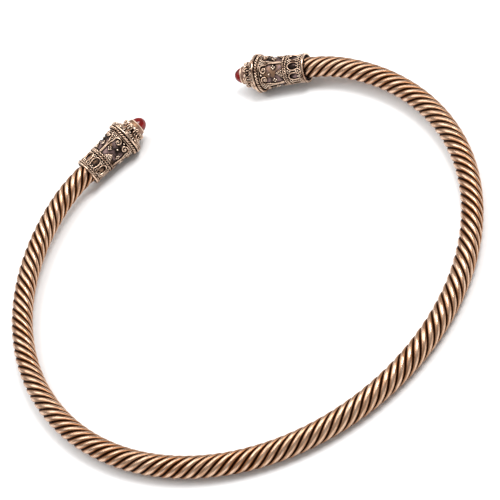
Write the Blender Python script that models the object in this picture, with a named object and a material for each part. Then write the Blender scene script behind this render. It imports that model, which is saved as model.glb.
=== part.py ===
"""Twisted bronze neck ring with two filigree terminals, each set with a garnet.

The ring lies flat with its opening toward -Y, +Z is up and the floor is z = 0. Lengths are in
metres and angles in degrees. "Left" is the wearer's left, the +X side, when the opening is worn
to the front. The bar is one section pushed along the ring while it turns, and the caps, settings
and stones are profiles turned about their own axes.
"""
import math

import bmesh
import bpy
import numpy as np
from mathutils import Matrix, Vector

# Twisted bar, seen from above as a long arc with a tighter bend before each terminal
RING_RADIUS = 0.0680
ARC_HALF_ANGLE = 135.0
END_BEND_RADIUS = 0.0400
END_BEND_ANGLE = 19.6
STRAND_COUNT = 7
STRAND_RADIUS = 0.00085
STRAND_RING_RADIUS = 0.00227
STRAND_CREST_ANGLE = 19.0
GROOVE_DEPTH = 0.00073
TWIST_LEAD = 0.0210
TWIST_STEP = 44.0

# Filigree cap, from its rim on the bar to the foot of the stone setting
SOCKET_DEPTH = 0.0090
SLEEVE_WALL = 0.00053
SLEEVE_FLARE = 0.00085
COLLAR_WIDTH = 0.00100
COLLAR_STEP = 0.00012
LOWER_BAND_LENGTH = 0.00450
MIDDLE_ROPE_WIDTH = 0.00120
UPPER_BAND_LENGTH = 0.00670
UPPER_ROPE_WIDTH = 0.00150
ROPE_RISE = 0.00042
LOOP_COUNT = 8
LOOP_RISE = 0.00030
ARCH_COUNT = 4
ARCH_RISE = 0.00038
CROWN_FLARE_LENGTH = 0.00100
CROWN_RIM_WIDTH = 0.00090
CROWN_TOP_LENGTH = 0.00210
CROWN_OVERHANG = 0.00110
CROWN_TOP_RADIUS = 0.00320
PETAL_COUNT = 8
PETAL_DEPTH = 0.00060

# Stone setting and stone
SETTING_RADIUS = 0.00295
SETTING_WALL = 0.00047
SETTING_LIP = 0.00018
BEZEL_HEIGHT = 0.00080
SETTING_FLOOR = 0.00060
SETTING_HEIGHT = 0.00220
STONE_RISE = 0.00260

# Space between neighbouring pieces, and how deep the flat spots are that the ring rests on
CLEARANCE = 0.00030
CROWN_FLAT_DEPTH = 0.00030
BAR_FLAT_DEPTH = 0.00012

# Points round each turned piece for every petal of the crown
POINTS_PER_PETAL = 3

# Sizes that follow from the ones above
BAR_RADIUS = STRAND_RING_RADIUS + STRAND_RADIUS
SOCKET_RADIUS = BAR_RADIUS + CLEARANCE
SLEEVE_RADIUS = SOCKET_RADIUS + SLEEVE_WALL
COLLAR_RADIUS = SLEEVE_RADIUS + COLLAR_STEP
UPPER_RADIUS = SLEEVE_RADIUS + SLEEVE_FLARE
CROWN_RADIUS = UPPER_RADIUS + CROWN_OVERHANG
ROUND_POINTS = PETAL_COUNT * POINTS_PER_PETAL
LOWER_BAND_START = COLLAR_WIDTH
MIDDLE_ROPE_START = LOWER_BAND_START + LOWER_BAND_LENGTH
UPPER_BAND_START = MIDDLE_ROPE_START + MIDDLE_ROPE_WIDTH
UPPER_ROPE_START = UPPER_BAND_START + UPPER_BAND_LENGTH
CROWN_START = UPPER_ROPE_START + UPPER_ROPE_WIDTH
CROWN_RIM_START = CROWN_START + CROWN_FLARE_LENGTH
CROWN_RIM_END = CROWN_RIM_START + CROWN_RIM_WIDTH
CROWN_END = CROWN_RIM_END + CROWN_TOP_LENGTH
SETTING_START = CROWN_END + CLEARANCE
SETTING_END = SETTING_START + SETTING_HEIGHT
SETTING_BORE = SETTING_RADIUS - SETTING_WALL
STONE_START = SETTING_START + SETTING_FLOOR + CLEARANCE
STONE_RADIUS = SETTING_BORE - CLEARANCE
ARC_LENGTH = RING_RADIUS * math.radians(ARC_HALF_ANGLE)
BEND_LENGTH = END_BEND_RADIUS * math.radians(END_BEND_ANGLE)
RIM_DISTANCE = ARC_LENGTH + BEND_LENGTH
SOCKET_FLOOR = min(SOCKET_DEPTH, UPPER_ROPE_START)
BAR_HALF_LENGTH = RIM_DISTANCE + SOCKET_FLOOR - CLEARANCE

LEFT = 1.0
RIGHT = -1.0
UP = Vector((0.0, 0.0, 1.0))


def clear_scene():
    """Removes every object that the file opened with."""
    for item in list(bpy.data.objects):
        bpy.data.objects.remove(item, do_unlink=True)


def bronze_material(name, colour, roughness):
    """Makes a bronze of one colour."""
    material = bpy.data.materials.new(name)
    material.use_nodes = True
    shader = material.node_tree.nodes["Principled BSDF"]
    shader.inputs["Base Color"].default_value = (*colour, 1.0)
    shader.inputs["Roughness"].default_value = roughness
    shader.inputs["Metallic"].default_value = 1.0
    return material


def garnet_material(name):
    """Makes a clear deep red stone."""
    material = bpy.data.materials.new(name)
    material.use_nodes = True
    shader = material.node_tree.nodes["Principled BSDF"]
    shader.inputs["Base Color"].default_value = (0.42, 0.012, 0.008, 1.0)
    shader.inputs["Roughness"].default_value = 0.08
    shader.inputs["Metallic"].default_value = 0.0
    shader.inputs["Transmission Weight"].default_value = 0.7
    shader.inputs["IOR"].default_value = 1.76
    return material


def centreline(side, reach):
    """Gives the bar's place and its direction, going one way round from the ring's back."""
    arc_angle = min(reach, ARC_LENGTH) / RING_RADIUS
    bend_angle = min(max(reach - ARC_LENGTH, 0.0), BEND_LENGTH) / END_BEND_RADIUS
    heading = arc_angle + bend_angle
    arc_outward = Vector((side * math.sin(arc_angle), math.cos(arc_angle), 0.0))
    outward = Vector((side * math.sin(heading), math.cos(heading), 0.0))
    direction = Vector((side * math.cos(heading), -math.sin(heading), 0.0))
    place = arc_outward * (RING_RADIUS - END_BEND_RADIUS) + outward * END_BEND_RADIUS
    return place + direction * max(reach - RIM_DISTANCE, 0.0), direction


def frame_along(place, direction):
    """Gives the frame at a place whose +Z runs along a level direction, with +Y up."""
    frame = Matrix((UP.cross(direction), UP, direction)).transposed().to_4x4()
    frame.translation = place
    return frame


def bar_frame(distance):
    """Gives the bar's turned section frame at a signed distance from the ring's back."""
    side = math.copysign(1.0, distance)
    place, direction = centreline(side, abs(distance))
    twist = -2.0 * math.pi * distance / TWIST_LEAD
    return frame_along(place, direction * side) @ Matrix.Rotation(twist, 4, "Z")


def terminal_frame(side):
    """Gives a terminal's frame: the origin on its rim and +Z toward the stone."""
    return frame_along(*centreline(side, RIM_DISTANCE))


def rest_frame():
    """Tips and lifts the ring so that its back and both crowns stand on the floor."""
    crown_place, _ = centreline(LEFT, RIM_DISTANCE + (CROWN_RIM_START + CROWN_RIM_END) / 2.0)
    crown_drop = CROWN_RADIUS - CROWN_FLAT_DEPTH
    back_drop = BAR_RADIUS - BAR_FLAT_DEPTH
    tilt = math.atan2(crown_drop - back_drop, RING_RADIUS - crown_place.y)
    lift = RING_RADIUS * math.sin(tilt) + back_drop
    return Matrix.Translation(UP * lift) @ Matrix.Rotation(-tilt, 4, "X")


def cut_rest_flat(mesh, placement):
    """Cuts away what a placed mesh has below the floor and closes the cut by flat faces."""
    to_mesh = placement.inverted()
    cut = bmesh.ops.bisect_plane(
        mesh,
        geom=mesh.verts[:] + mesh.edges[:] + mesh.faces[:],
        dist=1e-7,
        plane_co=to_mesh.translation,
        plane_no=to_mesh.to_3x3() @ -UP,
        clear_outer=True,
    )
    edges = [item for item in cut["geom_cut"] if isinstance(item, bmesh.types.BMEdge)]
    bmesh.ops.holes_fill(mesh, edges=edges, sides=0)
    bmesh.ops.recalc_face_normals(mesh, faces=mesh.faces)


def add_holder(name, frame, holder):
    """Adds an empty that carries pieces, with its place given in its own holder."""
    item = bpy.data.objects.new(name, None)
    item.empty_display_size = RING_RADIUS / 10.0
    item.parent = holder
    item.matrix_local = frame
    bpy.context.scene.collection.objects.link(item)
    return item


def add_piece(name, mesh, material, holder):
    """Turns a mesh into a named piece of one material, carried by its holder."""
    data = bpy.data.meshes.new(name)
    mesh.to_mesh(data)
    mesh.free()
    data.materials.append(material)
    data.shade_smooth()
    data.set_sharp_from_angle(angle=math.radians(50.0))
    item = bpy.data.objects.new(name, data)
    item.parent = holder
    bpy.context.scene.collection.objects.link(item)
    return item


def turned_mesh(profile):
    """Turns a profile of radius and height about Z. Its two ends lie on the axis."""
    mesh = bmesh.new()
    points = [mesh.verts.new((radius, 0.0, height)) for radius, height in profile]
    edges = [mesh.edges.new(pair) for pair in zip(points[:-1], points[1:])]
    bmesh.ops.spin(
        mesh,
        geom=points + edges,
        cent=(0.0, 0.0, 0.0),
        axis=UP,
        angle=2.0 * math.pi,
        steps=ROUND_POINTS,
        use_merge=True,
    )
    bmesh.ops.remove_doubles(mesh, verts=mesh.verts, dist=1e-6)
    bmesh.ops.recalc_face_normals(mesh, faces=mesh.faces)
    return mesh


def bar_section():
    """Gives the bar's section: a crest for each strand and a groove after it."""
    spacing = 2.0 * math.pi / STRAND_COUNT
    half_crest = math.radians(STRAND_CREST_ANGLE) / 2.0
    points = []
    for strand in range(STRAND_COUNT):
        crest = spacing * strand - math.pi / 2.0
        for angle, radius in (
            (crest - half_crest, BAR_RADIUS),
            (crest + half_crest, BAR_RADIUS),
            (crest + spacing / 2.0, BAR_RADIUS - GROOVE_DEPTH),
        ):
            points.append(Vector((radius * math.cos(angle), radius * math.sin(angle), 0.0)))
    return points


def build_bar(material, holder, placement):
    """Builds the bar: its section is pushed from end to end and turns to the left as it goes."""
    mesh = bmesh.new()
    frame = bar_frame(-BAR_HALF_LENGTH)
    points = [mesh.verts.new(frame @ point) for point in bar_section()]
    edges = [mesh.edges.new(pair) for pair in zip(points, points[1:] + points[:1])]
    half_steps = math.ceil(BAR_HALF_LENGTH / TWIST_LEAD * 360.0 / TWIST_STEP)
    for step in range(1 - half_steps, half_steps + 1):
        after = bar_frame(BAR_HALF_LENGTH * step / half_steps)
        pushed = bmesh.ops.extrude_edge_only(mesh, edges=edges)["geom"]
        points = [item for item in pushed if isinstance(item, bmesh.types.BMVert)]
        edges = [item for item in pushed if isinstance(item, bmesh.types.BMEdge)]
        bmesh.ops.transform(mesh, matrix=after @ frame.inverted(), verts=points)
        frame = after
    bmesh.ops.triangulate(mesh, faces=mesh.faces, quad_method="SHORT_EDGE")
    bmesh.ops.holes_fill(mesh, edges=mesh.edges, sides=0)
    bmesh.ops.recalc_face_normals(mesh, faces=mesh.faces)
    cut_rest_flat(mesh, placement)
    return add_piece("twisted_bar", mesh, material, holder)


def plain_row(radius, height):
    """Gives a row of the cap's outside that is round all the way."""
    return radius, height, 0.0, 1


def rope_rows(start, width, radius, rope_count):
    """Gives the rows of ropes laid side by side round the cap."""
    rows = []
    pitch = width / rope_count
    for rope in range(rope_count):
        rows.append(plain_row(radius + ROPE_RISE, start + pitch * (rope + 0.25)))
        rows.append(plain_row(radius + ROPE_RISE, start + pitch * (rope + 0.75)))
        if rope < rope_count - 1:
            rows.append(plain_row(radius + ROPE_RISE / 2.0, start + pitch * (rope + 1.0)))
    return rows


def sleeve_rows():
    """Gives the sleeve's rows: the collar, the loops, the middle ropes and the arches."""
    rows = [plain_row(COLLAR_RADIUS + ROPE_RISE / 2.0, 0.0)]
    rows += rope_rows(0.0, COLLAR_WIDTH, COLLAR_RADIUS, 1)
    rows.append(plain_row(SLEEVE_RADIUS, LOWER_BAND_START))
    loop_height = LOWER_BAND_START + LOWER_BAND_LENGTH * 0.55
    rows.append((SLEEVE_RADIUS + LOOP_RISE, loop_height, LOOP_RISE, LOOP_COUNT))
    rows.append(plain_row(SLEEVE_RADIUS, MIDDLE_ROPE_START))
    rows += rope_rows(MIDDLE_ROPE_START, MIDDLE_ROPE_WIDTH, SLEEVE_RADIUS, 2)
    rows.append(plain_row(SLEEVE_RADIUS, UPPER_BAND_START))
    for share in (0.35, 0.70):
        radius = SLEEVE_RADIUS + SLEEVE_FLARE * share + ARCH_RISE
        height = UPPER_BAND_START + UPPER_BAND_LENGTH * share
        rows.append((radius, height, ARCH_RISE, ARCH_COUNT))
    rows.append(plain_row(UPPER_RADIUS, UPPER_ROPE_START))
    return rows


def crown_rows():
    """Gives the rows of the upper ropes and of the crown, whose petals swell and close in."""
    rows = rope_rows(UPPER_ROPE_START, UPPER_ROPE_WIDTH, UPPER_RADIUS, 2)
    rows.append(plain_row(UPPER_RADIUS - ROPE_RISE, CROWN_START))
    middle_radius = (UPPER_RADIUS + CROWN_RADIUS) / 2.0
    middle_height = CROWN_START + CROWN_FLARE_LENGTH * 0.55
    rows.append((middle_radius, middle_height, PETAL_DEPTH / 2.0, PETAL_COUNT))
    rows.append((CROWN_RADIUS, CROWN_RIM_START, PETAL_DEPTH, PETAL_COUNT))
    rows.append((CROWN_RADIUS, CROWN_RIM_END, PETAL_DEPTH, PETAL_COUNT))
    shoulder_radius = CROWN_TOP_RADIUS + (CROWN_RADIUS - CROWN_TOP_RADIUS) * 0.35
    shoulder_height = CROWN_RIM_END + CROWN_TOP_LENGTH * 0.55
    rows.append((shoulder_radius, shoulder_height, PETAL_DEPTH / 2.0, PETAL_COUNT))
    rows.append(plain_row(CROWN_TOP_RADIUS, CROWN_END))
    return rows


def press_hollows(mesh, rows):
    """Presses the hollows between petals, loops and arches, with a petal facing straight down."""
    _, heights, depths, counts = zip(*rows)
    for point in mesh.verts:
        across = point.co.xy
        if across.length < SOCKET_RADIUS + SLEEVE_WALL / 2.0:
            continue
        depth = float(np.interp(point.co.z, heights, depths))
        count = counts[int(np.argmin(np.abs(np.subtract(heights, point.co.z))))]
        angle = math.atan2(across.y, across.x) + math.pi / 2.0
        hollow = depth * (1.0 - abs(math.cos(angle * count / 2.0)))
        point.co.xy = across * (1.0 - hollow / across.length)


def build_cap(name, material, holder, placement):
    """Builds the filigree cap that the bar's end stands in."""
    rows = sleeve_rows() + crown_rows()
    profile = [(0.0, SOCKET_FLOOR), (SOCKET_RADIUS, SOCKET_FLOOR), (SOCKET_RADIUS, 0.0)]
    profile += [(radius, height) for radius, height, _, _ in rows]
    profile.append((0.0, CROWN_END))
    mesh = turned_mesh(profile)
    press_hollows(mesh, rows)
    cut_rest_flat(mesh, placement)
    return add_piece(name, mesh, material, holder)


def build_setting(name, material, holder):
    """Builds the plain cup that holds the stone, with a bezel that slopes in to its lip."""
    profile = [
        (0.0, SETTING_START),
        (SETTING_RADIUS, SETTING_START),
        (SETTING_RADIUS, SETTING_END - BEZEL_HEIGHT),
        (SETTING_BORE + SETTING_LIP, SETTING_END),
        (SETTING_BORE, SETTING_END),
        (SETTING_BORE, SETTING_START + SETTING_FLOOR),
        (0.0, SETTING_START + SETTING_FLOOR),
    ]
    return add_piece(name, turned_mesh(profile), material, holder)


def build_stone(name, material, holder):
    """Builds the high domed stone, its dome a quarter of an oval turned about the axis."""
    profile = [(0.0, STONE_START), (STONE_RADIUS, STONE_START)]
    for elevation in (0.0, 30.0, 58.0):
        angle = math.radians(elevation)
        height = SETTING_END + STONE_RISE * math.sin(angle)
        profile.append((STONE_RADIUS * math.cos(angle), height))
    profile.append((0.0, SETTING_END + STONE_RISE))
    return add_piece(name, turned_mesh(profile), material, holder)


def centre_on_origin(ring, pieces):
    """Moves the ring along Y so that the origin is midway between its front and its back."""
    bpy.context.view_layer.update()
    reach = [(piece.matrix_world @ point.co).y for piece in pieces for point in piece.data.vertices]
    ring.location.y -= (min(reach) + max(reach)) / 2.0


def build_neck_ring():
    """Builds the whole neck ring."""
    clear_scene()
    bar_bronze = bronze_material("bar_bronze", (0.40, 0.26, 0.14), 0.38)
    cap_bronze = bronze_material("cap_bronze", (0.33, 0.22, 0.13), 0.45)
    setting_bronze = bronze_material("setting_bronze", (0.45, 0.30, 0.17), 0.32)
    garnet = garnet_material("garnet")
    rest = rest_frame()
    ring = add_holder("neck_ring", rest, None)
    pieces = [build_bar(bar_bronze, ring, rest)]
    for word, side in (("left", LEFT), ("right", RIGHT)):
        terminal = terminal_frame(side)
        holder = add_holder(f"{word}_terminal", terminal, ring)
        pieces.append(build_cap(f"{word}_filigree_cap", cap_bronze, holder, rest @ terminal))
        pieces.append(build_setting(f"{word}_stone_setting", setting_bronze, holder))
        pieces.append(build_stone(f"{word}_garnet", garnet, holder))
    centre_on_origin(ring, pieces)


build_neck_ring()
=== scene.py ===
"""A twisted bronze neck ring with filigree caps and domed garnets, made fine round its solids.

The ring lies on a pale floor with its opening toward -Y, and "left" is the wearer's left, +X. Each
piece is made in a simple frame of its own, with +Z along its length, and is then put in its place.
"""
from __future__ import annotations

import logging
import math
from collections.abc import Sequence
from dataclasses import dataclass, field
from enum import Enum

import bmesh
import bpy
from bmesh.types import BMesh
from bpy.types import Material, Node, NodeSocket, Object
from mathutils import Matrix, Vector, noise


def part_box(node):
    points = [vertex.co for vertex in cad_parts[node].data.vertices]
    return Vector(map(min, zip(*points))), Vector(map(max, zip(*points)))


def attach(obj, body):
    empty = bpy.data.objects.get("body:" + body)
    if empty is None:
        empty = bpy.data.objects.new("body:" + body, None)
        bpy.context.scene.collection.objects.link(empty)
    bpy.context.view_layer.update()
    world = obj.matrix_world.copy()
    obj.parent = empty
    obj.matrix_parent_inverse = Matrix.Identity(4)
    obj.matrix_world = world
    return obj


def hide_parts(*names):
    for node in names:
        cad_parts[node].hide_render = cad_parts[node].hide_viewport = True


MM = 0.001
UP = Vector((0.0, 0.0, 1.0))
BODY = "root"
HANDWORK_SEED = 5

Colour = tuple[float, float, float]
Outline = list[tuple[float, ...]]

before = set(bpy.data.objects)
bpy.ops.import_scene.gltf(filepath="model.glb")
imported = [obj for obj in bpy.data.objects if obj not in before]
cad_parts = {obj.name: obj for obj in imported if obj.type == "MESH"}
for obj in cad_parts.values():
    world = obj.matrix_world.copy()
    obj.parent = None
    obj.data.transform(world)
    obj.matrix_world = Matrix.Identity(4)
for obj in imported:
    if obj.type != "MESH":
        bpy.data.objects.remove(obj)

log = logging.getLogger("neck_ring")


class Side(Enum):
    """The wearer's side that a terminal is on, as the sign of its X."""

    LEFT = 1.0
    RIGHT = -1.0

    @property
    def word(self) -> str:
        """The side's name, as the solids' names begin."""
        return self.name.lower()


class Slot(Enum):
    """The record's material slots."""

    BAR = "bar_bronze"
    CAP = "cap_bronze"
    SETTING = "setting_bronze"
    STONE = "garnet"


class Lay(Enum):
    """Which way the two strands of a rope are laid."""

    LEFT = 1.0
    RIGHT = -1.0


@dataclass(frozen=True)
class RingPath:
    """The line that the bar follows and the way that the whole ring lies on the floor."""

    ring_radius: float = 68.0 * MM
    arc_half_angle: float = math.radians(135.0)
    end_bend_radius: float = 40.0 * MM
    end_bend_angle: float = math.radians(19.6)
    bar_radius: float = 3.12 * MM
    bar_flat_depth: float = 0.12 * MM
    crown_radius: float = 5.90 * MM
    crown_flat_depth: float = 0.30 * MM
    crown_height: float = 16.35 * MM

    @property
    def arc_length(self) -> float:
        """The long arc's length, from the middle of the back to one end bend."""
        return self.ring_radius * self.arc_half_angle

    @property
    def rim_distance(self) -> float:
        """The distance along the bar from the middle of the back to a cap's rim."""
        return self.arc_length + self.end_bend_radius * self.end_bend_angle

    def centreline(self, side: float, reach: float) -> tuple[Vector, Vector]:
        """Finds the bar's place and direction on its way round from the ring's back.

        Args:
            side: the sign of X on the way taken.
            reach: the distance gone along the centreline.

        Returns:
            The place and the direction there, both level.
        """
        bend_length = self.end_bend_radius * self.end_bend_angle
        arc_angle = min(reach, self.arc_length) / self.ring_radius
        bend = min(max(reach - self.arc_length, 0.0), bend_length)
        heading = arc_angle + bend / self.end_bend_radius
        arc_outward = Vector((side * math.sin(arc_angle), math.cos(arc_angle), 0.0))
        outward = Vector((side * math.sin(heading), math.cos(heading), 0.0))
        direction = Vector((side * math.cos(heading), -math.sin(heading), 0.0))
        place = arc_outward * (self.ring_radius - self.end_bend_radius)
        place += outward * self.end_bend_radius
        return place + direction * max(reach - self.rim_distance, 0.0), direction

    def bar_frame(self, distance: float) -> Matrix:
        """Gives the bar's section frame, not yet twisted.

        Args:
            distance: the signed distance along the bar from the middle of the back.

        Returns:
            A frame with +Z along the bar and +Y up.
        """
        side = math.copysign(1.0, distance)
        place, direction = self.centreline(side, abs(distance))
        return frame_along(place, direction * side)

    def terminal_frame(self, side: Side) -> Matrix:
        """Gives a terminal's frame: its origin on the cap's rim and +Z toward the stone."""
        return frame_along(*self.centreline(side.value, self.rim_distance))

    def rest_frame(self) -> Matrix:
        """Gives the frame that lays the level ring down on its back and its two crowns."""
        crown_reach = self.rim_distance + self.crown_height
        crown_place, _ = self.centreline(Side.LEFT.value, crown_reach)
        crown_drop = self.crown_radius - self.crown_flat_depth
        back_drop = self.bar_radius - self.bar_flat_depth
        tilt = math.atan2(crown_drop - back_drop, self.ring_radius - crown_place.y)
        lift = self.ring_radius * math.sin(tilt) + back_drop
        back_in_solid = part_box("twisted_bar")[1].y
        back = self.ring_radius * math.cos(tilt) + self.bar_radius
        shift = Vector((0.0, back_in_solid - back, lift))
        return Matrix.Translation(shift) @ Matrix.Rotation(-tilt, 4, "X")


def frame_along(place: Vector, direction: Vector) -> Matrix:
    """Gives a frame whose +Z runs along a level direction, with +Y up.

    Args:
        place: the frame's origin.
        direction: the level direction.

    Returns:
        The frame as a matrix.
    """
    turned = Matrix((UP.cross(direction), UP, direction)).transposed().to_4x4()
    turned.translation = place
    return turned


@dataclass
class NodeSheet:
    """Lays out one material's nodes and links, with short calls for the kinds used here."""

    name: str
    material: Material = field(init=False)
    shader: Node = field(init=False)

    def __post_init__(self) -> None:
        """Makes the empty material and finds its shader."""
        self.material = bpy.data.materials.new(self.name)
        self.material.use_nodes = True
        self.shader = self.material.node_tree.nodes["Principled BSDF"]

    def add(self, kind: str, **settings: object) -> Node:
        """Adds a node of a kind, with its settings.

        Args:
            kind: the node's type name after ShaderNode.
            settings: property values, or socket values under a socket's name.

        Returns:
            The new node.
        """
        node = self.material.node_tree.nodes.new("ShaderNode" + kind)
        for key, value in settings.items():
            socket = node.inputs.get(key.replace("_", " ").title())
            if hasattr(node, key):
                setattr(node, key, value)
            elif socket is not None:
                socket.default_value = value
        return node

    def feed(self, target: NodeSocket, value: object) -> None:
        """Links an input to a socket, or sets it to a number or to a colour's three numbers."""
        if isinstance(value, NodeSocket):
            self.material.node_tree.links.new(value, target)
        else:
            target.default_value = (*value, 1.0) if isinstance(value, tuple) else value

    def noise(self, where: NodeSocket, scale: float, detail: float = 3.0) -> NodeSocket:
        """Adds noise on some coordinates.

        Args:
            where: the coordinates' socket.
            scale: how many lumps there are in one unit.
            detail: how many finer layers there are.

        Returns:
            The noise's value, about 0.5 in the middle.
        """
        node = self.add("TexNoise", scale=scale, detail=detail)
        self.feed(node.inputs["Vector"], where)
        return node.outputs["Fac"]

    def ramp(self, value: NodeSocket, low: float, high: float, start: float = 0.0,
             end: float = 1.0) -> NodeSocket:
        """Maps a value from one span to another, smoothly and held at the ends.

        Args:
            value: the value's socket.
            low: the value that gives start.
            high: the value that gives end.
            start: the result at low.
            end: the result at high.

        Returns:
            The result's socket.
        """
        node = self.add("MapRange", interpolation_type="SMOOTHSTEP")
        for target, given in zip(node.inputs, (value, low, high, start, end)):
            self.feed(target, given)
        return node.outputs["Result"]

    def mix(self, share: NodeSocket, first: object, second: object) -> NodeSocket:
        """Mixes two colours.

        Args:
            share: the socket that says how much of the second there is.
            first: a colour's socket, or three numbers.
            second: a colour's socket, or three numbers.

        Returns:
            The mixed colour's socket.
        """
        node = self.add("Mix", data_type="RGBA")
        for place, value in ((0, share), (6, first), (7, second)):
            self.feed(node.inputs[place], value)
        return node.outputs[2]

    def maths(self, operation: str, *values: object) -> NodeSocket:
        """Works out a sum on some values.

        Args:
            operation: the sum's name, such as ADD.
            values: sockets or numbers.

        Returns:
            The result's socket.
        """
        node = self.add("Math", operation=operation)
        for target, value in zip(node.inputs, values):
            self.feed(target, value)
        return node.outputs["Value"]

    def swayed(self, value: NodeSocket, lumps: NodeSocket, amount: float) -> NodeSocket:
        """Sways a value up and down by some amount of noise."""
        return self.maths("MULTIPLY_ADD", self.maths("SUBTRACT", lumps, 0.5), amount, value)

    def place(self) -> NodeSocket:
        """Adds the piece's own coordinates."""
        return self.add("TexCoord").outputs["Object"]

    def attribute(self, name: str, output: str = "Fac") -> NodeSocket:
        """Adds one of the mesh's attributes."""
        return self.add("Attribute", attribute_name=name).outputs[output]

    def openness(self, reach: float) -> NodeSocket:
        """Adds how open a place is within a reach, from 0 in a deep corner to 1."""
        return self.add("AmbientOcclusion", samples=12, distance=reach).outputs["AO"]

    def shade(self, values: dict[str, object]) -> Material:
        """Feeds the shader's inputs, each under its name, and gives the material."""
        for name, value in values.items():
            self.feed(self.shader.inputs[name], value)
        return self.material

    def metal(self, colour: NodeSocket, roughness: NodeSocket, relief: NodeSocket,
              distance: float, strength: float) -> Material:
        """Makes the shader a metal with a relief.

        Args:
            colour: the colour's socket.
            roughness: the roughness's socket.
            relief: the socket of the relief's height from 0 to 1.
            distance: the relief's depth.
            strength: how strongly it shows.

        Returns:
            The material.
        """
        node = self.add("Bump", strength=strength, distance=distance)
        self.feed(node.inputs["Height"], relief)
        return self.shade({
            "Base Color": colour,
            "Roughness": roughness,
            "Metallic": 1.0,
            "Normal": node.outputs["Normal"],
        })


@dataclass(frozen=True)
class BarBronze:
    """Rubbed bronze strands: bright on their crests, partly as a painted highlight, with dark patina
    and painted shade in the grooves.
    """

    crest: Colour = (0.74, 0.525, 0.385)
    flank: Colour = (0.43, 0.240, 0.140)
    brown: Colour = (0.32, 0.130, 0.052)
    patina_and_painted_shade: Colour = (0.024, 0.0065, 0.0016)

    def make(self) -> Material:
        """Makes the material. It reads the mesh's groove and lay attributes."""
        sheet = NodeSheet("worn_bar_bronze")
        where = sheet.place()
        patches = sheet.noise(where, 90.0)
        blotches = sheet.noise(where, 420.0, 4.0)
        specks = sheet.noise(where, 2600.0)
        scratches = sheet.noise(sheet.attribute("lay", "Vector"), 2.4, 5.0)
        wander = sheet.swayed(sheet.attribute("groove"), blotches, 0.34)
        depth = sheet.swayed(wander, specks, 0.16)
        body = sheet.mix(sheet.ramp(patches, 0.36, 0.64), self.brown, self.flank)
        # The crest colour streaks the crests: rubbed metal together with a painted highlight.
        metal = sheet.mix(sheet.ramp(scratches, 0.38, 0.60), self.flank, self.crest)
        # Off the crests the colour turns to the darker, patchy body: real tone, laid out as painted
        # shade down the flanks.
        shade = sheet.mix(sheet.ramp(depth, 0.02, 0.26), metal, body)
        # Deep in the grooves it turns almost black: dark patina with painted shade.
        colour = sheet.mix(sheet.ramp(depth, 0.30, 0.60), shade, self.patina_and_painted_shade)
        roughness = sheet.ramp(depth, 0.05, 0.60, 0.27, 0.75)
        return sheet.metal(colour, roughness, sheet.maths("ADD", scratches, specks), 0.05 * MM, 0.75)


@dataclass(frozen=True)
class WireBronze:
    """Bronze wire and granules: rubbed pale, with painted shade that darkens their sides and where
    they meet what is under them, over dark patina.
    """

    name: str = "soldered_wire_bronze"
    bright: Colour = (0.78, 0.56, 0.415)
    dull_and_shaded: Colour = (0.23, 0.128, 0.082)
    patina_and_painted_shade: Colour = (0.010, 0.0045, 0.003)
    reach: float = 0.50 * MM

    def make(self) -> Material:
        """Makes the material, whose dark patina and painted shade gather in the narrow places."""
        sheet = NodeSheet(self.name)
        where = sheet.place()
        blotches = sheet.noise(where, 700.0)
        shift = sheet.swayed(sheet.openness(self.reach), blotches, 0.30)
        metal = sheet.mix(sheet.ramp(blotches, 0.30, 0.56), self.dull_and_shaded, self.bright)
        # Less open places, at the wires' sides and where they meet the sheet, are painted in shade:
        # first a dim colour, then near black over dark patina.
        shaded_by_openness = sheet.mix(sheet.ramp(shift, 0.70, 0.94), self.dull_and_shaded, metal)
        colour = sheet.mix(sheet.ramp(shift, 0.57, 0.84), self.patina_and_painted_shade, shaded_by_openness)
        roughness = sheet.ramp(shift, 0.55, 0.90, 0.90, 0.23)
        return sheet.metal(colour, roughness, sheet.noise(where, 5200.0, 2.0), 0.02 * MM, 0.5)


@dataclass(frozen=True)
class GranuleBronze(WireBronze):
    """The granules' bronze, rubbed paler than the wires'."""

    name: str = "soldered_granule_bronze"
    bright: Colour = (0.96, 0.76, 0.60)
    dull_and_shaded: Colour = (0.40, 0.26, 0.18)


@dataclass(frozen=True)
class OxidisedSheet:
    """The sheet behind the wires: brown to mauve with tan patches, blackened along the wires by
    patina and painted shade.
    """

    grey: Colour = (0.034, 0.023, 0.019)
    mauve: Colour = (0.250, 0.165, 0.155)
    tan: Colour = (0.38, 0.225, 0.140)
    patina_and_painted_shade: Colour = (0.008, 0.0045, 0.0035)
    reach: float = 1.30 * MM

    def make(self) -> Material:
        """Makes the material."""
        sheet = NodeSheet("oxidised_cap_sheet")
        where = sheet.place()
        clouds = sheet.noise(where, 420.0, 5.0)
        rubs = sheet.noise(where, 230.0)
        grain = sheet.noise(where, 3400.0, 4.0)
        shift = sheet.swayed(sheet.openness(self.reach), clouds, 0.40)
        metal = sheet.mix(sheet.ramp(clouds, 0.42, 0.60), self.grey, self.mauve)
        rubbed = sheet.mix(sheet.ramp(rubs, 0.53, 0.62), metal, self.tan)
        # Along the wires and in other close places the sheet turns black: patina together with
        # painted shade that stands in for the wires' contact shadows.
        colour = sheet.mix(sheet.ramp(shift, 0.76, 1.04), self.patina_and_painted_shade, rubbed)
        roughness = sheet.ramp(shift, 0.70, 1.00, 0.90, 0.42)
        return sheet.metal(colour, roughness, sheet.maths("ADD", clouds, grain), 0.09 * MM, 0.8)


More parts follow.
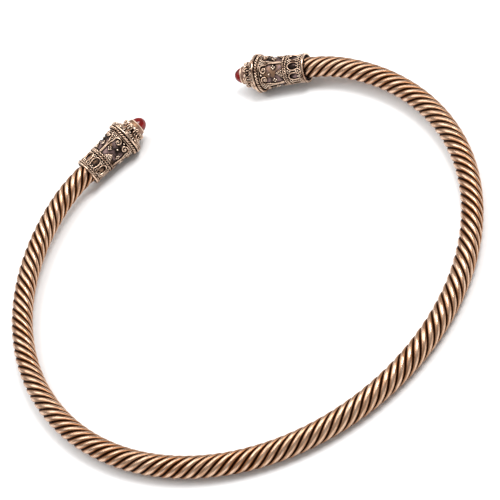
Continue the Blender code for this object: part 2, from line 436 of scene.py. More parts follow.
@dataclass(frozen=True)
class SettingBronze:
    """The plain setting's bronze: tan and pinkish brown, with a bright highlight painted on its thin
    lip only.
    """

    rose: Colour = (0.30, 0.185, 0.140)
    tan: Colour = (0.27, 0.150, 0.088)
    patina_and_painted_shade: Colour = (0.022, 0.012, 0.008)
    lip: Colour = (0.90, 0.72, 0.55)
    reach: float = 1.0 * MM

    def make(self) -> Material:
        """Makes the material. It reads the mesh's attribute that marks the lip, where the highlight
        is painted.
        """
        sheet = NodeSheet("setting_bronze_painted_lip")
        where = sheet.place()
        blotches = sheet.noise(where, 420.0, 4.0)
        grain = sheet.noise(where, 3600.0)
        metal = sheet.mix(sheet.ramp(blotches, 0.40, 0.62), self.tan, self.rose)
        # Less open places darken to near black: patina together with painted shade.
        shaded_by_openness = sheet.mix(sheet.ramp(sheet.openness(self.reach), 0.42, 0.86), self.patina_and_painted_shade, metal)
        # The lip is painted pale as a highlight.
        colour = sheet.mix(sheet.ramp(sheet.attribute("lip_highlight"), 0.2, 0.9), shaded_by_openness, self.lip)
        roughness = sheet.ramp(grain, 0.30, 0.75, 0.44, 0.60)
        return sheet.metal(colour, roughness, sheet.maths("ADD", blotches, grain), 0.05 * MM, 0.6)


@dataclass(frozen=True)
class GarnetStone:
    """Clear, deep red polished garnet."""

    red: Colour = (0.25, 0.0018, 0.0002)
    clouded: float = 0.45
    refraction: float = 1.74

    def make(self) -> Material:
        """Makes the material, with faint clouds in the stone."""
        sheet = NodeSheet("garnet_stone")
        clouds = sheet.noise(sheet.place(), 500.0)
        darker = tuple(share * self.clouded for share in self.red)
        return sheet.shade({
            "Base Color": sheet.mix(sheet.ramp(clouds, 0.35, 0.70), self.red, darker),
            "Roughness": 0.03,
            "IOR": self.refraction,
            "Specular IOR Level": 0.14,
            "Transmission Weight": 0.25,
        })


@dataclass(frozen=True)
class PaleFloor:
    """A plain pale floor."""

    colour: Colour = (0.94, 0.94, 0.94)

    def make(self) -> Material:
        """Makes the material."""
        return NodeSheet("pale_floor").shade({"Base Color": self.colour, "Roughness": 0.9})


def finish_piece(name: str, mesh: BMesh, place: Matrix, finish: Material,
                 node: str, sharp_angle: float = 60.0) -> Object:
    """Puts a mesh in its place on the ring and hands it over as a piece.

    Args:
        name: the piece's name.
        mesh: the mesh, which is used up.
        place: where the mesh's own frame stands.
        finish: the piece's material.
        node: the solid that the piece stands for.
        sharp_angle: the angle in degrees past which an edge is sharp.

    Returns:
        The piece.
    """
    mesh.transform(place)
    press_on_floor(mesh)
    data = bpy.data.meshes.new(name)
    mesh.to_mesh(data)
    mesh.free()
    data.materials.append(finish)
    data.shade_smooth()
    data.set_sharp_from_angle(angle=math.radians(sharp_angle))
    piece = bpy.data.objects.new(name, data)
    bpy.context.scene.collection.objects.link(piece)
    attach(piece, BODY)
    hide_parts(node)
    log.info("%s: %d faces", name, len(data.polygons))
    return piece


def press_on_floor(mesh: BMesh) -> None:
    """Wears flat what a placed mesh has below the floor."""
    for point in mesh.verts:
        point.co.z = max(point.co.z, 0.0)


def turned_mesh(profile: Sequence[tuple[float, float]], steps: int) -> BMesh:
    """Turns a profile about Z into one closed body.

    Args:
        profile: points as radius and height. The first and the last are on the axis.
        steps: how many steps the turn takes.

    Returns:
        The new mesh.
    """
    mesh = bmesh.new()
    points = [mesh.verts.new((radius, 0.0, height)) for radius, height in profile]
    edges = [mesh.edges.new(pair) for pair in zip(points[:-1], points[1:])]
    bmesh.ops.spin(mesh, geom=points + edges, cent=(0.0, 0.0, 0.0), axis=UP,
                   angle=2.0 * math.pi, steps=steps, use_merge=True)
    bmesh.ops.remove_doubles(mesh, verts=mesh.verts, dist=1e-6)
    bmesh.ops.recalc_face_normals(mesh, faces=mesh.faces)
    return mesh


def smooth_step(value: float, low: float, high: float) -> float:
    """Eases from 0 at the low value to 1 at the high one."""
    share = min(max((value - low) / (high - low), 0.0), 1.0)
    return share * share * (3.0 - 2.0 * share)


def read_off(points: Sequence[tuple[float, float]], where: float) -> float:
    """Reads a value off a line of points, held at the line's ends.

    Args:
        points: the line, as places in rising order and their values.
        where: the place to read at.

    Returns:
        The value there.
    """
    if where <= points[0][0]:
        return points[0][1]
    for (low, first), (high, second) in zip(points[:-1], points[1:]):
        if where <= high:
            return first + (second - first) * (where - low) / max(high - low, 1e-9)
    return points[-1][1]


@dataclass
class TwistedBar:
    """The bar: round strands twisted together to the left and bent to the ring's line."""

    path: RingPath
    strand_count: int = 7
    strand_radius: float = 0.85 * MM
    strand_ring_radius: float = 2.27 * MM
    lead: float = 21.0 * MM
    socket_depth: float = 8.7 * MM
    steps_per_lead: int = 30
    points_per_strand: int = 12
    groove_crowding: float = 0.9
    scratch_length: float = 0.12 / MM
    scratch_width: float = 2.2 / MM
    sharp_angle: float = 75.0

    def strand_section(self) -> list[tuple[Vector, float, float]]:
        """Works out the bar's section, strand by strand.

        Returns:
            For each point its place, how deep it lies in a groove from 0 to 1, and its distance
            round the strand.
        """
        half_space = math.pi / self.strand_count
        lay_angle = math.atan(2.0 * math.pi * self.strand_ring_radius / self.lead)
        wide = self.strand_radius / math.cos(lay_angle)
        edge = self.groove_turn(half_space, wide)
        points = []
        for strand in range(self.strand_count):
            middle = 2.0 * half_space * strand - math.pi / 2.0
            for index in range(self.points_per_strand):
                share = (index + 0.5) / self.points_per_strand * 2.0 - 1.0
                turn = edge * math.copysign(abs(share) ** self.groove_crowding, share)
                out = self.strand_ring_radius + self.strand_radius * math.cos(turn)
                across = wide * math.sin(turn)
                place = Matrix.Rotation(middle, 3, "Z") @ Vector((out, across, 0.0))
                depth = (1.0 - math.cos(turn)) / (1.0 - math.cos(edge))
                points.append((place, depth, self.strand_radius * turn))
        return points

    def groove_turn(self, half_space: float, wide: float) -> float:
        """Finds how far round a strand the groove between two strands lies.

        Args:
            half_space: half the angle between two strands.
            wide: a strand's half width across the bar.

        Returns:
            The angle round the strand, from its crest.
        """
        turn = math.pi / 2.0
        while turn < math.pi:
            out = self.strand_ring_radius + self.strand_radius * math.cos(turn)
            if math.atan2(wide * math.sin(turn), out) < half_space:
                return turn
            turn += math.radians(0.5)
        return turn

    def build(self, rest: Matrix, finish: Material) -> Object:
        """Pushes the section from one end of the bar to the other and turns it on the way.

        Args:
            rest: the frame that lays the ring down.
            finish: the bar's material.

        Returns:
            The bar.
        """
        section = self.strand_section()
        half_length = self.path.rim_distance + self.socket_depth
        half_steps = math.ceil(half_length / self.lead * self.steps_per_lead)
        mesh = bmesh.new()
        groove = mesh.verts.layers.float.new("groove")
        lay = mesh.verts.layers.float_vector.new("lay")
        before = self.section_frame(-half_length)
        points = [mesh.verts.new(before @ place) for place, _, _ in section]
        for point, (_, depth, round_way) in zip(points, section):
            point[groove] = depth
            point[lay] = Vector((0.0, round_way * self.scratch_width, 0.0))
        edges = [mesh.edges.new(pair) for pair in zip(points, points[1:] + points[:1])]
        for step in range(1 - half_steps, half_steps + 1):
            distance = half_length * step / half_steps
            after = self.section_frame(distance)
            pushed = bmesh.ops.extrude_edge_only(mesh, edges=edges)["geom"]
            points = [item for item in pushed if isinstance(item, bmesh.types.BMVert)]
            edges = [item for item in pushed if isinstance(item, bmesh.types.BMEdge)]
            bmesh.ops.transform(mesh, matrix=after @ before.inverted(), verts=points)
            for point in points:
                point[lay].x = distance * self.scratch_length
            before = after
        bmesh.ops.holes_fill(mesh, edges=mesh.edges, sides=0)
        bmesh.ops.recalc_face_normals(mesh, faces=mesh.faces)
        return finish_piece("twisted_bar_strands", mesh, rest, finish, "twisted_bar",
                            self.sharp_angle)

    def section_frame(self, distance: float) -> Matrix:
        """Gives the bar's frame at a signed distance, turned with the strands."""
        twist = Matrix.Rotation(-2.0 * math.pi * distance / self.lead, 4, "Z")
        return self.path.bar_frame(distance) @ twist


@dataclass
class Wirework:
    """Round wires of any gauge, laid as splines and turned into one mesh.

    A rope's two strands swing round its middle line at spread times a strand's radius.
    """

    roundness: int = 2
    spread: float = 1.20
    knots_per_turn: int = 10
    ring_knots: int = 96
    splines: list[tuple[list[Vector], float, bool]] = field(default_factory=list)

    def lay_wire(self, points: list[Vector], radius: float, closed: bool = False) -> None:
        """Lays a wire of a radius through points, its end on its start where it is closed."""
        self.splines.append((points, radius, closed))

    def lay_ring(self, radius: float, height: float, gauge: float) -> None:
        """Lays a plain wire of a gauge in a level ring of a radius at a height."""
        turns = [2.0 * math.pi * index / self.ring_knots for index in range(self.ring_knots)]
        ring = [Vector((math.cos(turn) * radius, math.sin(turn) * radius, height)) for turn in turns]
        self.lay_wire(ring, gauge, True)

    def lay_rope(self, radius: float, height: float, strand: float, turns: int, lay: Lay) -> None:
        """Lays a rope of two strands in a level ring round the axis.

        Args:
            radius: the radius of the rope's middle line.
            height: its height.
            strand: one strand's radius.
            turns: how many whole turns the rope has.
            lay: which way it is laid.
        """
        count = turns * self.knots_per_turn
        for phase in (0.0, math.pi):
            points = []
            for index in range(count):
                angle = 2.0 * math.pi * index / count
                out = Vector((math.cos(angle), math.sin(angle), 0.0))
                turn = lay.value * angle * turns + phase
                swing = out * math.cos(turn) + UP * math.sin(turn)
                points.append(out * radius + UP * height + swing * strand * self.spread)
            self.lay_wire(points, strand, True)

    def to_mesh(self) -> BMesh:
        """Turns the wires into one mesh of round tubes with closed ends."""
        curve = bpy.data.curves.new("wirework", "CURVE")
        curve.dimensions = "3D"
        curve.fill_mode = "FULL"
        curve.bevel_depth = MM
        curve.bevel_resolution = self.roundness
        curve.use_fill_caps = True
        for points, radius, closed in self.splines:
            spline = curve.splines.new("POLY")
            spline.points.add(len(points) - 1)
            spline.use_cyclic_u = closed
            for knot, point in zip(spline.points, points):
                knot.co = (*point, 1.0)
                knot.radius = radius / MM
        holder = bpy.data.objects.new("wirework", curve)
        bpy.context.scene.collection.objects.link(holder)
        seen = holder.evaluated_get(bpy.context.evaluated_depsgraph_get())
        data = bpy.data.meshes.new_from_object(seen)
        mesh = bmesh.new()
        mesh.from_mesh(data)
        bpy.data.objects.remove(holder, do_unlink=True)
        bpy.data.curves.remove(curve)
        bpy.data.meshes.remove(data)
        bmesh.ops.recalc_face_normals(mesh, faces=mesh.faces)
        return mesh


@dataclass
class SheetLine:
    """The outline in millimetres of the cap and then of the setting, read by the way along it."""

    points: tuple[tuple[float, float], ...] = (
        (0.0, 3.78), (6.6, 3.90), (13.2, 4.62), (14.3, 4.66), (14.7, 4.80), (15.2, 5.20),
        (15.7, 5.42), (16.2, 5.42), (16.6, 5.10), (17.0, 4.50), (17.4, 3.90), (17.8, 3.45),
        (18.3, 3.14), (20.9, 3.00),
    )
    sheet_points: int = 13
    ease: float = 0.14
    eased_from: float = 1.0
    probe: float = 0.25
    ways: list[float] = field(init=False)

    def __post_init__(self) -> None:
        """Measures the way gone from the rim to each point."""
        self.ways = [0.0]
        for (low, first), (high, second) in zip(self.points[:-1], self.points[1:]):
            self.ways.append(self.ways[-1] + math.hypot(high - low, second - first))

    def corner(self, way: float) -> Vector:
        """Reads the radius and the height at a way, on straight lines between the points."""
        radii = [(gone, radius) for gone, (_, radius) in zip(self.ways, self.points)]
        heights = [(gone, height) for gone, (height, _) in zip(self.ways, self.points)]
        return Vector((read_off(radii, way), read_off(heights, way)))

    def place(self, way: float) -> Vector:
        """Reads the radius and the height at a way, with the corners past the rim eased."""
        if way < self.eased_from:
            return self.corner(way)
        sides = self.corner(way - self.ease) + self.corner(way + self.ease)
        return (sides + self.corner(way) * 2.0) / 4.0

    def square(self, way: float) -> Vector:
        """Gives the direction straight away from the sheet, as a radius and a height."""
        ahead = self.place(way + self.probe) - self.place(way - self.probe)
        return Vector((ahead.y, -ahead.x)).normalized()

    def way_at(self, height: float) -> float:
        """Reads the way at a height."""
        return read_off([(level, gone) for gone, (level, _) in zip(self.ways, self.points)], height)


@dataclass(frozen=True)
class PlainRing:
    """A plain wire level round the cap, so far out from where the sheet is at the way."""

    height: float
    way: float
    out: float
    gauge: float

    def lay_on(self, line: SheetLine, work: Wirework) -> None:
        """Lays the wire."""
        radius = line.place(self.way).x + self.out
        work.lay_ring(radius * MM, self.height * MM, self.gauge * MM)


@dataclass(frozen=True)
class RopeRing:
    """A rope level round the cap, so many strand radii and a lift off the sheet."""

    way: float
    strand: float
    turns: int
    lay: Lay
    lift: float = 0.0
    radii_off: float = 1.45

    def lay_on(self, line: SheetLine, work: Wirework) -> None:
        """Lays the rope."""
        row = line.place(self.way)
        radius = row.x + self.strand * self.radii_off + self.lift
        work.lay_rope(radius * MM, row.y * MM, self.strand * MM, self.turns, self.lay)


@dataclass(frozen=True)
class DrawnWire:
    """A wire drawn flat, in millimetres: its outline, its radius and its middle's height.

    A point is the distance round and the way from the rim, and a third number adds to the height.
    """

    outline: Outline
    gauge: float
    lift: float


@dataclass(frozen=True)
class Granules:
    """Granules of about one size: their places, as a wire's points, and the radius."""

    spots: Outline
    radius: float


@dataclass(frozen=True)
class Figure:
    """A figure of wires and granules that repeats round the cap.

    Distances round are measured at the base radius. Some granules lie between two figures.
    """

    count: int
    start: float
    base_radius: float
    wires: list[DrawnWire]
    granules: list[Granules]
    granules_between: list[Granules]

    def angles(self) -> list[float]:
        """The angle of each figure's middle."""
        return [self.start + 2.0 * math.pi * index / self.count for index in range(self.count)]


@dataclass(frozen=True)
class Volute:
    """The spiral that ends a scroll arch, in millimetres."""

    eye: tuple[float, float] = (1.38, 12.58)
    start: float = math.radians(-22.0)
    sweep: float = math.radians(520.0)
    inner: float = 0.30
    outer: float = 1.46
    tightening: float = 1.7
    steps: int = 35

    def outline(self) -> Outline:
        """Draws the spiral from its outside to its eye."""
        points = []
        for index in range(self.steps + 1):
            share = index / self.steps
            turn = self.start + self.sweep * share
            radius = self.inner + (self.outer - self.inner) * (1.0 - share) ** self.tightening
            across, way = self.eye
            points.append((across + radius * math.cos(turn), way + radius * math.sin(turn)))
        return points


def oval(half: float, way: float, closed_end: float, sweep: float, steps: int,
         open_end: float = 0.0) -> Outline:
    """Draws an oval that is open at one end, in millimetres.

    Args:
        half: its half width.
        way: the way at which it is widest.
        closed_end: how far its closed end reaches from there, below 0 toward the rim.
        sweep: the angle in degrees drawn to each side of the closed end.
        steps: how many steps it is drawn in.
        open_end: how far the part past its widest would reach back.

    Returns:
        The outline.
    """
    points = []
    for index in range(steps + 1):
        turn = math.radians(sweep * (2.0 * index / steps - 1.0))
        reach = closed_end if abs(turn) < math.pi / 2.0 else open_end
        points.append((half * math.sin(turn), way + reach * math.cos(turn)))
    return points


def flipped(outline: Outline, hand: float) -> Outline:
    """Mirrors an outline if the hand is -1, and keeps it if it is 1."""
    return [(across * hand, *more) for across, *more in outline]


def with_tails(bow: Outline, tail: Outline) -> Outline:
    """Carries a bow on by a tail at its right end and by the tail's mirror image at its left."""
    return flipped(tail[::-1], -1.0) + bow + tail


def lower_loops(turn: float) -> Figure:
    """Draws the lower loops, round toward the stone, their ends curled apart by the collar."""
    curl = [(0.88, 1.66), (1.02, 1.44), (1.22, 1.40), (1.36, 1.56)]
    loop = with_tails(oval(1.20, 3.40, 1.72, 138.0, 24, 1.95), curl)
    return Figure(
        count=8,
        start=turn + math.pi / 8.0,
        base_radius=3.95,
        wires=[DrawnWire(loop, 0.20, 0.20)],
        granules=[Granules([(-0.31, 1.60), (0.31, 1.60), (0.0, 2.12)], 0.28)],
        granules_between=[
            Granules([(-0.30, 5.02), (0.30, 5.02), (0.0, 4.50)], 0.26),
            Granules([(0.0, 1.92), (0.0, 2.44)], 0.26),
        ],
    )


def scroll_arches(turn: float) -> Figure:
    """Draws the scroll arches, two loops wide, each with a small gable at its foot."""
    volute = Volute()
    side = [(3.18, 6.98), (3.20, 7.6), (3.21, 8.4), (3.20, 9.3), (3.17, 10.1), (3.10, 10.8),
            (2.97, 11.45)]
    gable = [(-1.42, 7.00), (-0.74, 7.86), (0.0, 8.86), (0.74, 7.86), (1.42, 7.00)]
    in_gable = [(-0.66, 7.22), (0.0, 7.22), (0.66, 7.22), (-0.32, 7.76), (0.32, 7.76), (0.0, 8.30)]
    diamond = [(1.86, 9.10), (1.48, 9.56), (2.24, 9.56), (1.86, 10.02)]
    spandrel = [(0.0, 12.10), (-0.29, 12.64), (0.29, 12.64), (-0.58, 13.18), (0.0, 13.18),
                (0.58, 13.18), (-1.00, 13.72), (-0.33, 13.72), (0.33, 13.72), (1.00, 13.72)]
    halves = [DrawnWire(flipped(side + volute.outline(), hand), 0.20, 0.20) for hand in (-1.0, 1.0)]
    clusters = [Granules(in_gable, 0.29), Granules([(0.0, 13.50), (0.0, 10.90)], 0.30)]
    for hand in (-1.0, 1.0):
        clusters.append(Granules(flipped(diamond, hand), 0.28))
        clusters.append(Granules(flipped([volute.eye], hand), 0.27))
    return Figure(
        count=4,
        start=turn,
        base_radius=4.25,
        wires=halves + [DrawnWire(gable, 0.15, 0.15)],
        granules=clusters,
        granules_between=[Granules(spandrel, 0.29)],
    )


def petals() -> Figure:
    """Draws the crown's petals, one of them facing straight down.

    Each has a long inner wire, whose ends stand up and curl apart by the setting, and a short
    outer one round its round end.
    """
    widest = 17.45
    ends = [(0.78, 17.90), (0.7644, 18.40), (0.7644, 18.90), (0.78, 19.40), (0.82, 19.90, 0.06),
            (0.86, 20.35, 0.16), (1.00, 20.80, 0.30), (1.28, 21.00, 0.42), (1.56, 20.88, 0.50),
            (1.70, 20.55, 0.52), (1.62, 20.20, 0.50), (1.36, 20.12, 0.44), (1.24, 20.36, 0.38)]
    sides = [(1.22, 17.85), (1.2078, 18.30), (1.1834, 18.75)]
    inner = with_tails(oval(0.78, widest, -0.78, 90.0, 16), ends)
    border = with_tails(oval(1.22, widest, -1.1224, 90.0, 16), sides)
    return Figure(
        count=8,
        start=-math.pi / 2.0,
        base_radius=4.85,
        wires=[DrawnWire(inner, 0.20, 0.18), DrawnWire(border, 0.18, 0.16)],
        granules=[Granules([(0.0, 17.30), (0.0, 17.86)], 0.26), Granules([(0.0, 20.55)], 0.48)],
        granules_between=[
            Granules([(0.0, 16.86), (0.0, 17.42), (0.0, 17.98)], 0.27),
            Granules([(0.0, 19.20), (0.0, 19.85)], 0.32),
        ],
    )


@dataclass
class FiligreeCap:
    """A cap of bronze sheet with soldered wires and granules. Its sizes are in millimetres."""

    side: Side
    arch_turn: float
    line: SheetLine = field(default_factory=SheetLine)
    rings: tuple[PlainRing | RopeRing, ...] = (
        PlainRing(0.31, 0.0, 0.36, 0.30),
        RopeRing(0.88, 0.150, 17, Lay.LEFT, 0.10),
        RopeRing(5.76, 0.165, 17, Lay.LEFT),
        RopeRing(6.50, 0.165, 17, Lay.RIGHT),
        PlainRing(14.16, 14.20, 0.15, 0.17),
        RopeRing(14.98, 0.220, 19, Lay.LEFT),
        PlainRing(15.82, 16.0713, 0.18, 0.30),
    )
    figures: list[Figure] = field(init=False)
    socket_radius: float = 3.14
    socket_depth: float = 8.9
    socket_mouth: float = 0.10
    rim_bevel: tuple[float, float] = (0.14, 0.12)
    top_bevel: float = 0.32
    swell_rise: tuple[float, float] = (15.6, 16.5)
    swell_fall: tuple[float, float] = (18.9, 20.0)
    swell: float = 0.42
    swell_level: float = 0.70
    swelling_from: float = 15.2
    swelling_outside: float = 2.85
    wobble: float = 0.12
    jitter: float = 0.10
    size_spread: float = 0.16
    granule_lift: float = 0.66
    rows_per_gap: int = 5
    steps: int = 120

    def __post_init__(self) -> None:
        """Draws the figures of wires and granules."""
        self.figures = [lower_loops(self.arch_turn), scroll_arches(self.arch_turn), petals()]

    @property
    def node(self) -> str:
        """The solid that the cap's pieces stand for."""
        return f"{self.side.word}_filigree_cap"

    def on_cap(self, angle: float, way: float, lift: float) -> Vector:
        """Gives a place on the cap, in metres.

        Args:
            angle: the angle round the axis.
            way: the way along the sheet from the rim.
            lift: the distance above the sheet, square to it.

        Returns:
            The place in the cap's frame.
        """
        square = self.line.square(way)
        place = self.line.place(way) + square * (lift + self.petal_swell(angle, way))
        return Vector((place.x * math.cos(angle), place.x * math.sin(angle), place.y)) * MM

    def petal_swell(self, angle: float, way: float) -> float:
        """Says how far the sheet swells out at a petal, or sinks between two.

        Args:
            angle: the angle round the axis.
            way: the way along the sheet from the rim.

        Returns:
            The distance, out being more.
        """
        crown = self.figures[-1]
        rise = smooth_step(way, *self.swell_rise)
        fall = 1.0 - smooth_step(way, *self.swell_fall)
        lobe = abs(math.cos((angle - crown.start) * crown.count / 2.0))
        return (lobe - self.swell_level) * self.swell * rise * fall

    def build_sheet(self, place: Matrix, finish: Material) -> Object:
        """Builds the sheet: sleeve, crown and the socket that the bar stands in."""
        bevel_width, bevel_height = self.rim_bevel
        profile = [
            (0.0, self.socket_depth),
            (self.socket_radius, self.socket_depth),
            (self.socket_radius, self.socket_mouth),
            (self.line.place(0.0).x - bevel_width, 0.0),
        ]
        ways = self.line.ways[:self.line.sheet_points]
        for first, second in zip(ways[:-1], ways[1:]):
            for index in range(self.rows_per_gap):
                row = self.line.place(first + (second - first) * index / self.rows_per_gap)
                profile.append((row.x, max(row.y, bevel_height)))
        top, top_radius = self.line.points[self.line.sheet_points - 1]
        profile.append((top_radius, top))
        profile.append((top_radius - self.top_bevel, top + self.top_bevel))
        profile.append((0.0, top + self.top_bevel))
        mesh = turned_mesh([(radius * MM, height * MM) for radius, height in profile], self.steps)
        self.swell_sheet(mesh)
        return finish_piece(f"{self.side.word}_cap_sheet", mesh, place, finish,
                            self.node, 50.0)

    def swell_sheet(self, mesh: BMesh) -> None:
        """Swells the turned crown out at its petals."""
        for point in mesh.verts:
            across = point.co.xy
            height = point.co.z / MM
            if height > self.swelling_from and across.length > self.swelling_outside * MM:
                way = self.line.way_at(height)
                square = self.line.square(way)
                swell = self.petal_swell(math.atan2(across.y, across.x), way) * MM
                point.co.xy = across * (1.0 + square.x * swell / across.length)
                point.co.z += square.y * swell

    def uneven(self, angle: float, way: float, scale: tuple[float, float], shift: Vector) -> Vector:
        """Reads how uneven the handwork is at a place, as three numbers between -1 and 1.

        Args:
            angle: the angle round the axis.
            way: the way along the sheet from the rim.
            scale: how fast it changes round the cap, and along it.
            shift: what sets the two caps apart.
        """
        spread, along = scale
        where = Vector((math.cos(angle) * spread, math.sin(angle) * spread, way * along))
        return noise.noise_vector(where + shift * self.side.value)

    def bend(self, wire: DrawnWire, centre: float, base_radius: float) -> list[Vector]:
        """Bends a drawn wire round the cap, a little unevenly, as by hand.

        Args:
            wire: the wire.
            centre: the angle of its middle.
            base_radius: the radius at which the distance round is measured.

        Returns:
            The points on the cap, in metres.
        """
        points = []
        for across, way, *more in wire.outline:
            angle = centre + across / base_radius
            sway = self.uneven(angle, way, (2.2, 0.55), Vector((40.0, 0.0, 0.0))) * self.wobble
            lift = wire.lift + sum(more)
            points.append(self.on_cap(angle + sway.x / base_radius, way + sway.y, lift))
        return points

    def build_wires(self, place: Matrix, finish: Material) -> Object:
        """Builds all the soldered wires and ropes of the cap."""
        work = Wirework()
        for ring in self.rings:
            ring.lay_on(self.line, work)
        for figure in self.figures:
            for angle in figure.angles():
                for wire in figure.wires:
                    work.lay_wire(self.bend(wire, angle, figure.base_radius), wire.gauge * MM)
        return finish_piece(f"{self.side.word}_cap_wires", work.to_mesh(), place, finish,
                            self.node)

    def build_granules(self, place: Matrix, finish: Material) -> Object:
        """Builds the granules, singly and in clusters."""
        mesh = bmesh.new()
        for figure in self.figures:
            for angle in figure.angles():
                between = angle + math.pi / figure.count
                for granules in figure.granules:
                    self.drop_granules(mesh, granules, angle, figure.base_radius)
                for granules in figure.granules_between:
                    self.drop_granules(mesh, granules, between, figure.base_radius)
        return finish_piece(f"{self.side.word}_cap_granules", mesh, place, finish,
                            self.node)

    def drop_granules(self, mesh: BMesh, granules: Granules, centre: float,
                      base_radius: float) -> None:
        """Solders granules on the cap, each a little off its place and size.

        Args:
            mesh: the mesh to add to.
            granules: the granules.
            centre: the angle that their places are measured from.
            base_radius: the radius at which the distance round is measured.
        """
        cluster = bmesh.new()
        for across, way in granules.spots:
            angle = centre + across / base_radius
            sway = self.uneven(angle, way, (9.0, 3.0), Vector((0.0, 0.0, 50.0)))
            size = granules.radius * (1.0 + self.size_spread * sway.z)
            turned = angle + sway.x * self.jitter / base_radius
            spot = self.on_cap(turned, way + sway.y * self.jitter, size * self.granule_lift)
            bmesh.ops.create_uvsphere(cluster, u_segments=8, v_segments=6, radius=size * MM,
                                      matrix=Matrix.Translation(spot))
        data = bpy.data.meshes.new("granule_cluster")
        cluster.to_mesh(data)
        cluster.free()
        mesh.from_mesh(data)
        bpy.data.meshes.remove(data)


@dataclass
class StoneSetting:
    """The plain cup whose wall slopes in to a thin lip round the stone, marked for a painted
    highlight.
    """

    side: Side
    line: tuple[tuple[float, float], ...] = (
        (0.0, 18.4), (2.90, 18.4), (3.00, 18.65), (3.00, 19.60), (2.97, 20.10), (2.90, 20.40),
        (2.78, 20.72), (2.70, 20.92), (2.75, 21.00), (2.75, 21.10), (2.69, 21.17), (2.60, 21.19),
        (2.51, 21.16), (2.43, 21.04), (2.42, 20.00), (0.0, 20.00),
    )
    lip_start: float = 20.88
    lip_full: float = 20.98
    steps: int = 96

    def build(self, place: Matrix, finish: Material) -> Object:
        """Turns the setting from its profile."""
        mesh = turned_mesh([(radius * MM, height * MM) for radius, height in self.line], self.steps)
        lip_highlight = mesh.verts.layers.float.new("lip_highlight")
        # Marks the lip's height band, where the setting's material paints a highlight.
        for point in mesh.verts:
            point[lip_highlight] = smooth_step(point.co.z / MM, self.lip_start, self.lip_full)
        return finish_piece(f"{self.side.word}_setting_cup", mesh, place, finish,
                            f"{self.side.word}_stone_setting", 40.0)


@dataclass
class Garnet:
    """The high domed stone."""

    side: Side
    foot: float = 20.1 * MM
    girdle: float = 21.05 * MM
    radius: float = 2.40 * MM
    rise: float = 2.80 * MM
    foot_share: float = 0.94
    foot_bevel: float = 0.15 * MM
    rings: int = 18
    steps: int = 72

    def build(self, place: Matrix, finish: Material) -> Object:
        """Turns the stone from its profile."""
        profile = [
            (0.0, self.foot),
            (self.radius * self.foot_share, self.foot),
            (self.radius, self.foot + self.foot_bevel),
        ]
        for index in range(self.rings):
            turn = math.pi / 2.0 * index / self.rings
            profile.append((self.radius * math.cos(turn), self.girdle + self.rise * math.sin(turn)))
        profile.append((0.0, self.girdle + self.rise))
        mesh = turned_mesh(profile, self.steps)
        return finish_piece(f"{self.side.word}_garnet_stone", mesh, place, finish,
                            f"{self.side.word}_garnet")


@dataclass(frozen=True)
class SoftLight:
    """A square soft light that faces the ring: its place and its side in metres, its watts."""

    name: str
    place: tuple[float, float, float]
    size: float
    watts: float

    def hang(self) -> None:
        """Hangs the light."""
        data = bpy.data.lights.new(self.name, "AREA")
        data.size = self.size
        data.energy = self.watts
        lamp = bpy.data.objects.new(self.name, data)
        lamp.location = self.place
        lamp.rotation_euler = Vector(self.place).to_track_quat("Z", "Y").to_euler()
        bpy.context.scene.collection.objects.link(lamp)


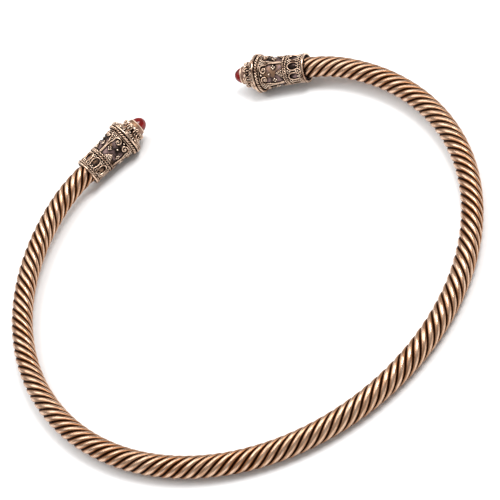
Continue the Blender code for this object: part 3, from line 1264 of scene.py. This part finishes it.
@dataclass
class Studio:
    """The floor, the soft lights and the camera, which looks as the photo's camera did."""

    rest: Matrix
    lights: tuple[SoftLight, ...] = (
        SoftLight("key_light", (-0.42, -0.06, 0.80), 0.42, 6.2),
        SoftLight("far_light", (0.30, -0.34, 0.84), 0.95, 6.4),
    )
    sky_brightness: float = 0.50
    camera_place: tuple[float, float, float] = (-80.08, 372.69, 412.49)
    camera_heading: float = math.radians(168.35)
    camera_pitch: float = math.radians(47.34)
    camera_roll: float = math.radians(-33.57)
    lens: float = 144.0
    sensor_width: float = 36.0
    nearest: float = 0.01
    floor_size: float = 4.0

    def add_camera(self) -> None:
        """Sets the camera, whose place and turn are measured in the level ring's frame."""
        data = bpy.data.cameras.new("photo_camera")
        data.lens = self.lens
        data.sensor_width = self.sensor_width
        data.clip_start = self.nearest
        camera = bpy.data.objects.new("photo_camera", data)
        heading = Matrix.Rotation(-self.camera_heading, 4, "Z")
        pitch = Matrix.Rotation(math.pi / 2.0 - self.camera_pitch, 4, "X")
        roll = Matrix.Rotation(self.camera_roll, 4, "Z")
        stand = Matrix.Translation(Vector(self.camera_place) * MM)
        camera.matrix_world = self.rest @ stand @ heading @ pitch @ roll
        bpy.context.scene.collection.objects.link(camera)
        bpy.context.scene.camera = camera

    def add_floor(self) -> None:
        """Lays the floor."""
        mesh = bmesh.new()
        bmesh.ops.create_grid(mesh, x_segments=1, y_segments=1, size=self.floor_size / 2.0)
        data = bpy.data.meshes.new("studio_floor")
        mesh.to_mesh(data)
        mesh.free()
        data.materials.append(PaleFloor().make())
        floor = bpy.data.objects.new("studio_floor", data)
        bpy.context.scene.collection.objects.link(floor)

    def add_sky(self) -> None:
        """Sets an even pale surround."""
        world = bpy.data.worlds.new("studio_sky")
        world.use_nodes = True
        background = world.node_tree.nodes["Background"]
        background.inputs["Color"].default_value = (1.0, 1.0, 1.0, 1.0)
        background.inputs["Strength"].default_value = self.sky_brightness
        bpy.context.scene.world = world

    def build(self) -> None:
        """Builds the whole studio."""
        self.add_floor()
        self.add_sky()
        for light in self.lights:
            light.hang()
        self.add_camera()
        bpy.context.scene.view_settings.view_transform = "Standard"


@dataclass
class NeckRing:
    """The whole ring: the bar and its two terminals."""

    path: RingPath = field(default_factory=RingPath)
    left_arch_turn: float = math.radians(151.0)
    right_arch_turn: float = math.radians(39.6)

    def build(self) -> None:
        """Builds every piece and hands it its finish, with the same uneven handwork each time."""
        noise.seed_set(HANDWORK_SEED)
        rest = self.path.rest_frame()
        sheet = OxidisedSheet().make()
        wire = WireBronze().make()
        granules = GranuleBronze().make()
        # The setting's finish, with its painted lip highlight and painted shade.
        rubbed = SettingBronze().make()
        garnet = GarnetStone().make()
        TwistedBar(self.path).build(rest, BarBronze().make())
        for side, arch_turn in zip(Side, (self.left_arch_turn, self.right_arch_turn)):
            place = rest @ self.path.terminal_frame(side)
            cap = FiligreeCap(side, arch_turn)
            cap.build_sheet(place, sheet)
            cap.build_wires(place, wire)
            cap.build_granules(place, granules)
            StoneSetting(side).build(place, rubbed)
            Garnet(side).build(place, garnet)


def main() -> None:
    """Builds the ring and its studio round the solids."""
    logging.basicConfig(level=logging.INFO, format="%(message)s")
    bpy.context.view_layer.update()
    NeckRing().build()
    Studio(RingPath().rest_frame()).build()


if __name__ == "__main__":
    main()
